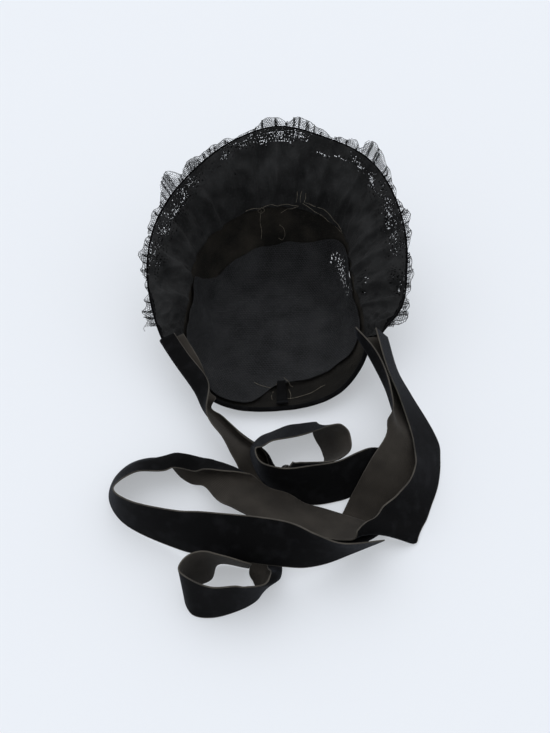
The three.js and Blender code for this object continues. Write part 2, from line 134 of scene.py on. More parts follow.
def slant(angle):
    """Width of the brim from the seam to the wire."""
    return np.linalg.norm(brim_point(angle, 1) - brim_point(angle, 0), axis=-1)


def unit(v):
    return v / np.maximum(np.linalg.norm(v, axis=-1, keepdims=True), 1e-9)


def inside(surface, angle, t, depth):
    """Point at some depth under a surface, towards the wearer's head."""
    t = np.asarray(t, float)
    turn = surface(angle + 0.2, t) - surface(angle - 0.2, t)
    up = surface(angle, t + 0.002) - surface(angle, t - 0.002)
    return surface(angle, t) - unit(np.cross(up, turn)) * np.asarray(depth)[..., None]


print("rim at the top of the brim:", brim_point(0.0, 1.0).round(1))

# %% [markdown]
# ## Unevenness
#
# Nothing sewn by hand is even. A short sum of waves with fixed phases gives a wander
# that is the same in each run, and it is used for folds, ragged edges and wear. A bell
# makes a single fold or spot, and a ramp lets one thing pass into another.

# %% waves, bells and ramps


def wander(angle, seed, waves, low=3):
    """Uneven wave round the bonnet, about -1 to 1, none longer than 360 / low degrees."""
    dice = np.random.default_rng(seed)
    turn = np.radians(np.asarray(angle, float))
    total = np.zeros_like(turn)
    for k in range(low, low + waves):
        total = total + dice.normal() * np.sin(k * turn + dice.uniform(0, 2 * np.pi))
    return total / math.sqrt(waves) * 1.2


def crumple(x, y, seed, size, waves=9):
    """Uneven wave over a sheet, about -1 to 1, with wrinkles about size long."""
    dice = np.random.default_rng(seed)
    total = 0
    for _ in range(waves):
        way, pitch = dice.uniform(0, 2 * np.pi), size * dice.uniform(0.6, 1.6)
        phase = 2 * np.pi * (x * np.cos(way) + y * np.sin(way)) / pitch
        total = total + np.sin(phase + dice.uniform(0, 6.3))
    return total / math.sqrt(waves) * 1.2


def bell(x):
    """1 at 0, falling to nothing at about 2 on both sides."""
    return np.exp(-(x**2))


def ramp(x, low, high):
    """0 up to low, 1 from high on; low may be the greater of the two."""
    return np.clip((x - low) / (high - low), 0, 1)


print("wander at the top:", round(float(wander(0.0, 1, 20)), 2))

# %% [markdown]
# ## The cloths
#
# The stiffened crown cloth and the gathered cloth are plain weaves that have faded
# unevenly towards brown and grey. The lining is a bluer cloth under net. Velvet is
# nearly black face on and brightens along its bends, where the pile is seen from the
# side, so it gets a sheen. The back of the ribbon is a brown rib with a pale woven
# edge. A thread is a twist of pale cotton.

# %% nodes for a material


def fill(tree, sockets, values):
    """Sets inputs of a node; each is a value or another node's output."""
    for key, value in values.items():
        if isinstance(value, bpy.types.NodeSocket):
            tree.links.new(value, sockets[key])
        else:
            sockets[key].default_value = value


def node(tree, kind, inputs=None, **settings):
    """A node with its settings and inputs."""
    made = tree.nodes.new(kind)
    for key, value in settings.items():
        setattr(made, key, value)
    fill(tree, made.inputs, inputs or {})
    return made


def shader(name):
    """A new material, its node tree and the coordinates of the piece that it is put on."""
    made = bpy.data.materials.new(name)
    made.use_nodes = True
    tree = made.node_tree
    return made, tree, node(tree, "ShaderNodeTexCoord").outputs["Object"]


def dress(made, values, bump=None):
    """Sets a material's skin; bump is a height, its strength and its depth in metres."""
    tree = made.node_tree
    skin = tree.nodes["Principled BSDF"]
    fill(tree, skin.inputs, values)
    if bump:
        raised = node(tree, "ShaderNodeBump", dict(zip(("Height", "Strength", "Distance"), bump)))
        tree.links.new(raised.outputs["Normal"], skin.inputs["Normal"])
    return made


def ranged(tree, value, low, high, top=1.0):
    """Maps low to 0 and high to top, and holds both ends."""
    inputs = {"Value": value, "From Min": low, "From Max": high, "To Max": top}
    return node(tree, "ShaderNodeMapRange", inputs).outputs["Result"]


def blotches(tree, place, scale, detail, low, high):
    """Soft patches between 0 and 1."""
    noise = node(tree, "ShaderNodeTexNoise", {"Vector": place, "Scale": scale, "Detail": detail})
    return ranged(tree, noise.outputs["Fac"], low, high)


def mixed(tree, share, a, b):
    """Colour between a and b; share, a and b are values or outputs."""
    made = node(tree, "ShaderNodeMix", data_type="RGBA")
    sockets = {socket.identifier: socket for socket in made.inputs}
    fill(tree, sockets, {"Factor_Float": share, "A_Color": a, "B_Color": b})
    return next(s for s in made.outputs if s.identifier == "Result_Color")


def toned(colour, share):
    """Colour made darker or lighter by a factor."""
    return [min(1, c * share) for c in colour[:3]] + [1]


def threads(tree, pitch, across):
    """Threads that lie side by side on the laid-out cloth, pitch millimetres apart."""
    lay = node(tree, "ShaderNodeUVMap", uv_map="lay").outputs["UV"]
    inputs = {"Vector": lay, "Scale": 0.314 / pitch, "Distortion": 0.4, "Detail": 1.0, "Detail Scale": 0.6}
    return node(tree, "ShaderNodeTexWave", inputs, bands_direction=across).outputs["Fac"]


def both(tree, a, b, operation="MAXIMUM"):
    return node(tree, "ShaderNodeMath", {0: a, 1: b}, operation=operation).outputs[0]

# %% woven cloths
WEAVE_DEPTH = 0.0002
# Object Y in metres over which painted shade darkens the cloth towards the nape.
NAPE_SHADE_FROM, NAPE_SHADE_TO = -0.045, -0.075


def cloth(name, dark, worn, pitch, sheen, patch=60, spread=(0.35, 0.75), nape_shade=0.0):
    """Plain weave, faded in patches from dark towards worn; painted shade darkens it towards the nape."""
    made, tree, place = shader(name)
    weave = both(tree, threads(tree, pitch, "X"), threads(tree, pitch, "Y"))
    faded = mixed(tree, blotches(tree, place, patch, 6, *spread), dark, worn)
    fluff = both(tree, blotches(tree, place, 700, 3, 0.55, 0.8), 0.35, "MULTIPLY")
    lint = mixed(tree, fluff, faded, toned(worn, 2.2))
    grain = mixed(tree, both(tree, weave, 0.45, "MULTIPLY"), lint, toned(dark, 0.45))
    # Painted shade: the colour darkens towards the nape, where the cloth faces up and gets more light.
    towards_top = node(tree, "ShaderNodeSeparateXYZ", {"Vector": place}).outputs["Y"]
    at_nape = ranged(tree, towards_top, NAPE_SHADE_FROM, NAPE_SHADE_TO, nape_shade)
    values = {
        "Base Color": mixed(tree, at_nape, grain, toned(dark, 0.3)),
        "Roughness": 0.92, "Specular IOR Level": 0.2,
        "Sheen Weight": sheen, "Sheen Roughness": 0.5, "Sheen Tint": toned(worn, 12),
    }
    return dress(made, values, (weave, 0.7, WEAVE_DEPTH))


# The crown cloth gets painted shade towards the nape.
crown_cloth = cloth(
    "crown_cloth", (0.0042, 0.0039, 0.0034, 1), (0.036, 0.031, 0.025, 1),
    pitch=0.7, sheen=0.05, patch=32, spread=(0.4, 0.7), nape_shade=0.85,
)
brim_cloth = cloth(
    "brim_cloth", (0.008, 0.008, 0.0082, 1), (0.018, 0.018, 0.018, 1), pitch=0.7, sheen=0.04
)
gathered_cloth = cloth(
    "gathered_cloth", (0.0062, 0.0064, 0.0068, 1), (0.032, 0.0325, 0.0335, 1),
    pitch=0.9, sheen=0.05, patch=45, spread=(0.38, 0.72),
)
lining_cloth = cloth(
    "net_lining", (0.0095, 0.0098, 0.0107, 1), (0.042, 0.0425, 0.0452, 1),
    pitch=0.9, sheen=0.06, patch=40, spread=(0.36, 0.74),
)
print("woven cloths:", crown_cloth.name, brim_cloth.name, gathered_cloth.name, lining_cloth.name)

# %% velvet, ribbon back, woven edge, net and thread


def velvet_finish(name):
    """Close black pile, crushed here and there."""
    made, tree, place = shader(name)
    crushed = blotches(tree, place, 90, 4, 0.5, 0.72)
    pile = node(tree, "ShaderNodeTexNoise", {"Vector": place, "Scale": 2600.0, "Detail": 2.0})
    values = {
        "Base Color": mixed(tree, crushed, (0.0022, 0.0022, 0.0025, 1), (0.0065, 0.0066, 0.0075, 1)),
        "Roughness": 0.95, "Specular IOR Level": 0.1,
        "Sheen Weight": 0.07, "Sheen Roughness": 0.28, "Sheen Tint": (0.55, 0.6, 0.75, 1),
    }
    return dress(made, values, (pile.outputs["Fac"], 0.6, 0.0003))


def rib_finish(name, dark, light):
    """Brown ribbed ground of the ribbon, its ribs across the ribbon."""
    made, tree, place = shader(name)
    ribs = both(tree, threads(tree, 0.9, "X"), threads(tree, 1.3, "Y"), "MULTIPLY")
    faded = mixed(tree, blotches(tree, place, 45, 5, 0.35, 0.7), dark, light)
    lined = mixed(tree, both(tree, ribs, 0.6, "MULTIPLY"), faded, toned(dark, 0.5))
    values = {"Base Color": lined, "Roughness": 0.85, "Specular IOR Level": 0.25, "Sheen Weight": 0.05}
    return dress(made, values, (ribs, 0.6, 0.00025))


def twist_finish(name, dark, light, rough):
    """Fine thread whose colour changes a little along its way."""
    made, tree, place = shader(name)
    colour = mixed(tree, blotches(tree, place, 500, 3, 0.3, 0.7), dark, light)
    return dress(made, {"Base Color": colour, "Roughness": rough, "Specular IOR Level": 0.2})


velvet = velvet_finish("velvet")
ribbon_back = rib_finish("velvet_ribbon_back", (0.020, 0.0165, 0.013, 1), (0.040, 0.034, 0.028, 1))
ribbon_edge = rib_finish("velvet_ribbon_edge", (0.036, 0.032, 0.027, 1), (0.085, 0.076, 0.064, 1))
net_thread = twist_finish("net", (0.005, 0.0055, 0.0062, 1), (0.013, 0.0137, 0.0155, 1), 0.6)
lining_thread = twist_finish("net_on_lining", (0.012, 0.0128, 0.0145, 1), (0.05, 0.052, 0.057, 1), 0.6)
pale_thread = twist_finish("sewing_thread", (0.09, 0.08, 0.062, 1), (0.25, 0.225, 0.185, 1), 0.8)
print("finishes:", velvet.name, ribbon_back.name, ribbon_edge.name, net_thread.name, pale_thread.name)

# %% [markdown]
# ## Cutting a piece
#
# A piece of cloth is two grids of points, its outer and inner face, joined round the
# edge. Its lay, in millimetres along and across the cloth, goes with it as UV, so that
# the weave follows the cloth into every fold.

# %% pieces


def linked(name, data):
    """Object for a mesh, a curve, a lamp or a camera, in the scene."""
    made = bpy.data.objects.new(name, data)
    bpy.context.scene.collection.objects.link(made)
    return made


def keep_piece(made, node_names):
    """Sets a finished piece on the bonnet, in place of its plain CAD solids."""
    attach(made, "root")
    if node_names:
        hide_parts(*node_names)
    print(made.name, len(made.data.polygons), "faces")
    return made


def piece(name, points, faces, lay, materials, which=None):
    """Mesh object in metres, smooth, with a UV lay per point and one material index per face."""
    mesh = bpy.data.meshes.new(name)
    mesh.from_pydata((points * MM).tolist(), [], faces.tolist())
    for finish in materials:
        mesh.materials.append(finish)
    if which is not None:
        mesh.polygons.foreach_set("material_index", np.asarray(which, np.int32))
    corner = np.zeros(len(mesh.loops), np.int32)
    mesh.loops.foreach_get("vertex_index", corner)
    mesh.uv_layers.new(name="lay").data.foreach_set("uv", lay[corner].astype(np.float32).ravel())
    mesh.shade_smooth()
    mesh.validate()
    return linked(name, mesh)

# %% a cloth between two grids


def lengths(grid, axis):
    """Distance run along one axis of a grid of points, in millimetres."""
    step = np.linalg.norm(np.diff(grid, axis=axis), axis=-1)
    start = np.zeros_like(np.take(step, [0], axis))
    return np.concatenate([start, np.cumsum(step, axis)], axis)


def sheet_mesh(outer, inner, closed=False):
    """Points, quads, lay and side (0 outer, 1 inner, 2 edge) of a cloth between two grids."""
    columns, rows = outer.shape[:2]
    index = np.arange(columns * rows).reshape(columns, rows)
    if closed:
        index = np.concatenate([index, index[:1]])
    under = index + columns * rows
    a, b, c, d = index[:-1, :-1], index[1:, :-1], index[1:, 1:], index[:-1, 1:]
    top = np.stack([a, b, c, d], -1).reshape(-1, 4)
    bottom = np.stack([a, d, c, b], -1).reshape(-1, 4) + columns * rows
    rims = [(index[:-1, 0], index[1:, 0], under[1:, 0], under[:-1, 0])]
    rims.append((index[1:, -1], index[:-1, -1], under[:-1, -1], under[1:, -1]))
    if not closed:
        rims.append((index[0, 1:], index[0, :-1], under[0, :-1], under[0, 1:]))
        rims.append((index[-1, :-1], index[-1, 1:], under[-1, 1:], under[-1, :-1]))
    edge = np.concatenate([np.stack(rim, -1) for rim in rims])[:, ::-1]
    lay = np.stack([lengths(outer, 0), lengths(outer, 1)], -1).reshape(-1, 2)
    side = np.repeat([0, 1, 2], [len(top), len(bottom), len(edge)])
    points = np.concatenate([outer.reshape(-1, 3), inner.reshape(-1, 3)])
    return points, np.concatenate([top, bottom, edge]), np.concatenate([lay, lay]), side


def pierced(faces, gone, columns):
    """Takes cells out of both faces of a sheet and walls up the edges of the holes."""
    rows = gone.shape[1] + 1
    under = columns * rows
    keep = np.ones(len(faces), bool)
    keep[: 2 * gone.size] = ~np.tile(gone.ravel(), 2)
    walls = []
    i, j = np.nonzero(gone[1:] != gone[:-1])
    walls.append((gone[i + 1, j], (i + 1) * rows + j, (i + 1) * rows + j + 1))
    i, j = np.nonzero(gone[:, 1:] != gone[:, :-1])
    walls.append((gone[i, j + 1], (i + 1) % columns * rows + j + 1, i * rows + j + 1))
    quads = []
    for beyond, p, q in walls:
        a, b = np.where(beyond, q, p), np.where(beyond, p, q)
        quads.append(np.stack([a, b, b + under, a + under], -1))
    return np.concatenate([faces[keep]] + quads)


def laid(surface, angles, steps, *depths):
    """Grids of points under a surface; the steps and each depth may depend on the direction."""
    angle = np.repeat(angles[:, None], steps.shape[-1], 1)
    t = np.broadcast_to(steps, angle.shape)
    return [inside(surface, angle, t, depth(angle, t) if callable(depth) else depth) for depth in depths]


def cut(name, grids, finish, node_name, closed=False, gone=None, straight=False):
    """Cloth between two grids; gone marks worn cells, straight lays the weave along X and Y."""
    points, faces, lay, _ = sheet_mesh(*grids, closed)
    if gone is not None:
        faces = pierced(faces, gone, len(grids[0]))
    made = piece(name, points, faces, points[:, :2] if straight else lay, [finish])
    return keep_piece(made, [node_name])

# %% [markdown]
# ## Crown
#
# The crown is two pieces of stiffened cloth: a round tip, which the bonnet lies on, and
# a side band that was eased to it, so that small pleats run up from their seam. Age has
# made its inside brown. On the right the band has worn through over a few square
# centimetres, and only its net is left there.

# %% crown tip
CROWN_WALL = 1.6
TIP_SHARE, LAP_STEP = 0.42, 0.006
circle = np.linspace(-180, 180, 160, endpoint=False)


def close_middle(grids):
    """Closes the middle of a round piece: its first ring becomes one point."""
    for grid in grids:
        grid[:, 0] = (0, 0, grid[:, 1, 2].mean())
    return grids


tip_steps = np.concatenate([np.linspace(-1, -0.02, 24), np.linspace(0.02, TIP_SHARE, 14)])
tip = close_middle(laid(crown_point, circle, tip_steps, 0.0, CROWN_WALL))
cut("crown_tip_cloth", tip, crown_cloth, "crown_tip", closed=True)

# %% crown side with its worn hole


def side_pleats(angle, t):
    """Small pleats that start at the tip seam and fade towards the edge."""
    fade = ramp(t, TIP_SHARE + 0.4, TIP_SHARE) ** 1.5
    return 0.5 * fade * np.sin(np.radians(angle * 70) + 2.5 * wander(angle, 4, 12))


def side_creases(angle, t):
    """Long creases of the band, none at its two seams."""
    across = around("edge", angle) * np.radians(angle)
    between_seams = ramp(t, TIP_SHARE, TIP_SHARE + 1 / 6) * ramp(t, 1, 1 - 1 / 6)
    return 0.7 * crumple(across, t * 60, 12, 34) * between_seams


def lap(t):
    """How far the band is pushed in where its seam allowance lies inside the tip."""
    return (CROWN_WALL + 0.1) * ramp(t, TIP_SHARE + LAP_STEP, TIP_SHARE)


def band_inside(angle, t):
    """Depth of the band's inner face, pleated and creased."""
    return CROWN_WALL + np.maximum(side_pleats(angle, t) + side_creases(angle, t), -0.5)


WORN_ANGLE, WORN_T, WORN_TOP = 65, 0.68, 0.8
WORN_HALF_TURN, WORN_HALF_T, WORN_LEAN = 25, 0.2, 0.004
# Millimetres of cloth to a degree and to the whole profile, about the worn patch.
DEGREE_MM, PROFILE_MM = 1.4, 75


def finer_at_patch(count):
    """Directions round the crown, closer together where the band has worn through."""
    fine = np.linspace(WORN_ANGLE - 34, WORN_ANGLE + 34, 150)
    return np.concatenate([fine, np.linspace(fine[-1], fine[0] + 360, count)[1:-1]])


def off_patch(angle, t):
    """Distance from the middle of the worn patch, about 1 at its outline."""
    turn = angle - WORN_ANGLE
    return np.hypot(turn / WORN_HALF_TURN, (t - WORN_T - WORN_LEAN * turn) / WORN_HALF_T)


def worn_away(angle, t):
    """Over 1 in the small holes where the lining has worn through."""
    return 1.45 - off_patch(angle, t) + 0.75 * crumple(angle * DEGREE_MM, t * PROFILE_MM, 31, 3.6, 14)


def hole_in_band(angle, t):
    """True in the one large hole of the band, behind the small holes of its lining."""
    ragged = off_patch(angle, t) + 0.12 * crumple(angle * DEGREE_MM, t * PROFILE_MM, 32, 9)
    return (ragged < 1.15) & (t < WORN_TOP)


side_steps = np.concatenate([[TIP_SHARE - 0.025, TIP_SHARE], np.linspace(TIP_SHARE + LAP_STEP, 1, 44)])
side_circle = finer_at_patch(230)
band = laid(
    crown_point,
    side_circle,
    side_steps,
    lambda a, t: lap(t) + side_pleats(a, t) * 0.5,
    lambda a, t: lap(t) + band_inside(a, t),
)
through = hole_in_band(side_circle[:, None], (side_steps[:-1] + side_steps[1:]) / 2)
cut("crown_side_cloth", band, crown_cloth, "crown_side", closed=True, gone=through)

# %% [markdown]
# ## Lining
#
# The crown is lined with a dark cloth under net. The cloth lies loose on the tip, with
# a few long creases, and runs up the wall at both cheeks. At the top, and at the nape
# right of the tab, it stops low and the brown inside of the band shows. Where the band
# has worn through, so has the lining.
#
# The net is a true net of threads. Its cells are six-sided, so it is made by laying a
# mesh of equal triangles on the cloth and taking the dual of it, which puts a six-sided
# cell round each corner. Geometry Nodes turn the edges into threads.

# %% lining cloth
LINING_DEPTH, LINING_WALL = 2.05, 0.6
# How far up the wall the lining runs: direction in degrees and place on the profile.
LINING_EDGE = [
    (-180, 0.44), (-175, 0.47), (-170, 0.95), (-150, 0.97), (-120, 0.96), (-90, 0.93), (-72, 0.9),
    (-62, 0.55), (-52, 0.38), (-38, 0.42), (-15, 0.5), (0, 0.54), (14, 0.6), (28, 0.72), (40, 0.88),
    (60, 0.93), (90, 0.92), (120, 0.9), (130, 0.7), (140, 0.5), (152, 0.46), (170, 0.4), (180, 0.44),
]


def lining_edge(angle):
    """Place on the profile where the lining ends, its corners softened."""
    at, share = np.array(LINING_EDGE).T
    turn = (np.asarray(angle, float) + 180) % 360 - 180
    near = [np.interp((turn + step + 180) % 360 - 180, at, share) for step in (-4, -2, 0, 2, 4)]
    return sum(near) / len(near) + 0.012 * wander(turn, 14, 24, 6)


def lining_depth(angle, t):
    """Depth of the loose lining, with its long creases and its slack."""
    radius = around("patch", angle) * (1 + np.minimum(t, 0)) + 30 * np.maximum(t, 0)
    x, y = radius * np.sin(np.radians(angle)), radius * np.cos(np.radians(angle))
    slack = 0.55 + 0.45 * crumple(x, y, 8, 46) + 0.35 * crumple(x, y, 9, 15)
    ridge = bell((x + 14 + 0.004 * (y + 10) ** 2) / 2.2) * bell((y + 10) / 34)
    hump = bell((x - 4) / 13) * bell((y + 52) / 7)
    off_the_band = 1.6 * ramp(t, 0.24, 0.38)
    return LINING_DEPTH + np.maximum(slack, 0) * 0.8 + 1.1 * ridge + 1.5 * hump + off_the_band


lining_circle = finer_at_patch(190)
on_tip = np.tile(np.linspace(-1, -0.02, 30), (len(lining_circle), 1))
up_wall = 0.02 + (lining_edge(lining_circle)[:, None] - 0.02) * np.linspace(0, 1, 44)
steps = np.concatenate([on_tip, up_wall], 1)
depths = (lining_depth, lambda a, t: lining_depth(a, t) + LINING_WALL)
grids = close_middle(laid(crown_point, lining_circle, steps, *depths))
holes = worn_away(lining_circle[:, None], (steps[:, :-1] + steps[:, 1:]) / 2) > 1
lining = cut(
    "tip_lining_cloth", grids, lining_cloth, "tip_lining",
    closed=True, gone=holes, straight=True,
)
covered = sum(face.area for face in lining.data.polygons) / 2
print("the lining covers", round(covered, 4), "square metres")

# %% [markdown]
# The net is wanted in several places, so the tree is made once. Its inputs are the
# thread's radius, how much of the net has torn away and how far the threads wander.

# %% a net from triangles, in Geometry Nodes


def group(name, numbers, materials):
    """Node tree with named inputs, and its input node's outputs."""
    tree = bpy.data.node_groups.new(name, "GeometryNodeTree")
    socket = tree.interface.new_socket
    socket("Geometry", in_out="INPUT", socket_type="NodeSocketGeometry")
    for key, value in numbers.items():
        kind = "NodeSocketInt" if isinstance(value, int) else "NodeSocketFloat"
        socket(key, in_out="INPUT", socket_type=kind).default_value = value
    for key in materials:
        socket(key, in_out="INPUT", socket_type="NodeSocketMaterial")
    socket("Geometry", in_out="OUTPUT", socket_type="NodeSocketGeometry")
    return tree, tree.nodes.new("NodeGroupInput").outputs


def outcome(tree, kind, inputs=None, **settings):
    """First output of a new node."""
    return node(tree, kind, inputs, **settings).outputs[0]


def ring_curve(tree, sides, radius):
    inputs = {"Resolution": sides, "Radius": radius}
    return outcome(tree, "GeometryNodeCurvePrimitiveCircle", inputs, mode="RADIUS")


def round_tube(tree, curve, sides, radius, caps=False):
    inputs = {"Curve": curve, "Profile Curve": ring_curve(tree, sides, radius), "Fill Caps": caps}
    return outcome(tree, "GeometryNodeCurveToMesh", inputs)


def coated(tree, shape, finish):
    return outcome(tree, "GeometryNodeSetMaterial", {"Geometry": shape, "Material": finish})


def net_tree():
    """Threads along the edges of the dual of a mesh, some of them torn out."""
    numbers = {"Thread Radius": 0.00015, "Torn Share": 0.1, "Unevenness": 0.00025, "Seed": 3}
    tree, given = group("net_of_threads", numbers, ["Thread"])
    place = outcome(tree, "GeometryNodeInputPosition")
    cells = outcome(tree, "GeometryNodeDualMesh", {"Mesh": given["Geometry"]})
    shake = node(tree, "ShaderNodeTexNoise", {"Vector": place, "Scale": 900.0, "Detail": 1.0})
    about_zero = {0: shake.outputs["Color"], 1: (0.5, 0.5, 0.5)}
    centred = outcome(tree, "ShaderNodeVectorMath", about_zero, operation="SUBTRACT")
    scaled = {0: centred, "Scale": given["Unevenness"]}
    shift = outcome(tree, "ShaderNodeVectorMath", scaled, operation="SCALE")
    moved = outcome(tree, "GeometryNodeSetPosition", {"Geometry": cells, "Offset": shift})
    chance = node(tree, "FunctionNodeRandomValue", {"Seed": given["Seed"]}, data_type="FLOAT")
    odds = {0: chance.outputs[1], 1: given["Torn Share"]}
    torn = outcome(tree, "FunctionNodeCompare", odds, data_type="FLOAT", operation="LESS_THAN")
    edges = {"Geometry": moved, "Selection": torn}
    kept = outcome(tree, "GeometryNodeDeleteGeometry", edges, domain="EDGE", mode="EDGE_FACE")
    lines = outcome(tree, "GeometryNodeMeshToCurve", {"Mesh": kept})
    tube = round_tube(tree, lines, 3, given["Thread Radius"])
    real = outcome(tree, "GeometryNodeRealizeInstances", {"Geometry": tube})
    tree.links.new(coated(tree, real, given["Thread"]), tree.nodes.new("NodeGroupOutput").inputs[0])
    return tree

# %% growing and keeping a net


def grown(name, base, tree, values):
    """Runs a node tree on a base object and returns its result as a plain mesh object."""
    modifier = base.modifiers.new("grow", "NODES")
    modifier.node_group = tree
    for item in tree.interface.items_tree:
        if item.in_out == "INPUT" and item.name in values:
            modifier[item.identifier] = values[item.name]
    bpy.context.view_layer.update()
    graph = bpy.context.evaluated_depsgraph_get()
    mesh = bpy.data.meshes.new_from_object(base.evaluated_get(graph), depsgraph=graph)
    base.modifiers.remove(modifier)
    bpy.data.objects.remove(base)
    mesh.name = name
    return linked(name, mesh)


net_nodes = net_tree()


def net(name, base, radius, torn, seed, thread=net_thread, unevenness=0.00025):
    """Grows a net on a mesh of triangles and keeps it; radius and unevenness in metres."""
    values = {"Thread Radius": radius, "Torn Share": torn, "Unevenness": unevenness}
    made = grown(name, base, net_nodes, {**values, "Seed": seed, "Thread": thread})
    return keep_piece(made, [])


def triangle_sheet(width, height, cell, wanted, lay_on):
    """Mesh of equal triangles, width by height millimetres, laid on a surface where wanted."""
    rise = cell * math.sqrt(3) / 2
    columns, rows = int(width / cell) + 1, int(height / rise) + 1
    i, k = np.meshgrid(np.arange(columns), np.arange(rows), indexing="ij")
    along, over = (i + 0.5 * (k % 2)) * cell, k * rise
    spot = np.arange(columns * rows).reshape(columns, rows)
    corners = []
    for odd in (0, 1):
        a, b = spot[:-1, odd:-1:2], spot[1:, odd:-1:2]
        c, d = spot[:-1, odd + 1 :: 2], spot[1:, odd + 1 :: 2]
        pairs = ((a, b, c), (b, d, c)) if odd == 0 else ((a, b, d), (a, d, c))
        corners += [np.stack(pair, -1).reshape(-1, 3) for pair in pairs]
    corners = np.concatenate(corners)
    corners = corners[wanted(along, over).ravel()[corners].all(1)]
    used, corners = np.unique(corners, return_inverse=True)
    corners = corners.reshape(-1, 3)
    points = lay_on(along.ravel()[used], over.ravel()[used])
    mesh = bpy.data.meshes.new("triangles")
    mesh.from_pydata((points * MM).tolist(), [], corners.tolist())
    return linked("triangles", mesh)

# %% net over the lining
NET_ON_LINING = 0.35
LINING_REACH, LINING_CELL, WALL_RUN = 118, 2.6, 62


def polar(along, over):
    x, y = along - LINING_REACH, over - LINING_REACH
    return np.degrees(np.arctan2(x, y)), np.hypot(x, y)


def lining_t(angle, radius):
    """Place on the crown's profile at a distance from its middle, measured along the cloth."""
    patch = around("patch", angle)
    return np.where(radius < patch, radius / patch - 1, (radius - patch) / WALL_RUN)


def is_lined(along, over):
    angle, radius = polar(along, over)
    return lining_t(angle, radius) < lining_edge(angle) + 0.03


def on_lining(along, over):
    angle, radius = polar(along, over)
    t = lining_t(angle, radius)
    return inside(crown_point, angle, t, lining_depth(angle, t) + LINING_WALL + NET_ON_LINING)


base = triangle_sheet(2 * LINING_REACH, 2 * LINING_REACH, LINING_CELL, is_lined, on_lining)
net("tip_lining_net", base, radius=0.00016, torn=0.03, seed=5, thread=lining_thread)

# %% [markdown]
# ## Brim
#
# The brim is stiffened cloth that ends just short of the wire. Near the wire it has worn
# into small holes, which come in clusters, and the pale table shows through them and
# through the net over them. The gathered cloth on its inside is drawn up on a thread at
# the seam: deep folds fan out from there and fall over sharply.

# %% edges of the brim cloth and the gathered cloth
BRIM_WALL, BRIM_CLOTH, GAP = 1.8, 1.2, 0.45
SEAM_LAP = 1.0
RIM_RADIUS = 117
# Clusters of small holes: direction and width in degrees, distance from the wire and spread in mm.
WORN_SPOTS = [
    (-83, 8, 4, 6), (-70, 7, 8, 7), (-57, 8, 9, 8), (-45, 8, 6, 7), (-25, 6, 7, 5), (-22, 1.5, 26, 2),
    (-14, 5, 4, 5), (-4, 6, 8, 6), (5, 5, 6, 7), (11, 4, 4, 4), (22, 3, 15, 1.5), (29, 4, 12, 1.5),
    (36, 4, 7, 4), (47, 7, 9, 7), (62, 8, 8, 9), (75, 8, 8, 7), (95, 6, 5, 5), (88, 7, 38, 5),
]


def wear(angle, back):
    """How worn the brim is, 0 to about 1; back is the distance from the wire in millimetres."""
    spots = [bell((angle - a) / w) * bell((back - d) / s) for a, w, d, s in WORN_SPOTS]
    return np.clip(sum(spots), 0, 1)


def is_hole(angle, back, ease):
    """True inside the small worn holes; ease opens more of them."""
    along = np.radians(angle) * RIM_RADIUS
    speckle = crumple(along, back, 33, 2.2, 16) + 0.4 * crumple(along, back, 34, 9)
    worn = wear(angle, back)
    return (worn > 0.12) & (speckle > 1.65 - (1.35 + ease) * worn)


def worn_cells(turns, steps, ease):
    """Cells of a brim cloth that fall in a worn hole."""
    angle = (turns[:-1] + turns[1:])[:, None] / 2
    middle = (steps[:-1, :-1] + steps[1:, 1:]) / 2
    return is_hole(angle, (1 - middle) * slant(angle), ease)


def frayed_back(angle):
    """How far the cloth's edge has frayed back from the wire, in millimetres."""
    return 0.3 * np.abs(wander(angle, 21, 60, 30)) + 0.3 * np.abs(wander(angle, 22, 40, 90))


def brim_steps(angles, first, last, inner, outer):
    """Steps from near the seam to a line just short of the wire, closer near the wire."""
    share = np.concatenate([np.linspace(0, 0.6, inner), np.linspace(0.6, 1, outer)[1:]])
    wide = slant(angles)
    return (first / wide)[:, None] + ((1 - last / wide) - first / wide)[:, None] * share


BRIM_TUCK = 2.5
brim_turns = np.linspace(BRIM_LEFT - BRIM_TUCK, BRIM_RIGHT + BRIM_TUCK, 640)
steps = brim_steps(brim_turns, -SEAM_LAP, frayed_back(brim_turns) + 0.1, 12, 24)
grids = laid(brim_point, brim_turns, steps, 0.0, BRIM_CLOTH)
cut("brim_frame_cloth", grids, brim_cloth, "brim", gone=worn_cells(brim_turns, steps, 1.2))

# %% gathered cloth
# Deep folds: direction and width in degrees, height in mm and lean in degrees.
FOLDS = [
    (-116, 4, 3, -4), (-98, 4, 5, -3), (-84, 4, 6, 2), (-68, 4, 5, 3), (-52, 3, 4, -6), (-38, 3, 6, -8),
    (-24, 4, 4, -3), (-13, 3, 6, 0), (-1, 3, 6, 1), (9, 3, 5, 2), (23, 3, 5, 1), (36, 3, 4, 6),
    (50, 4, 5, 4), (64, 3, 4, 2), (76, 4, 7, 3), (91, 4, 6, 4), (102, 3, 5, 3), (115, 4, 3, 2),
]
RUCHE_WALL = 0.7


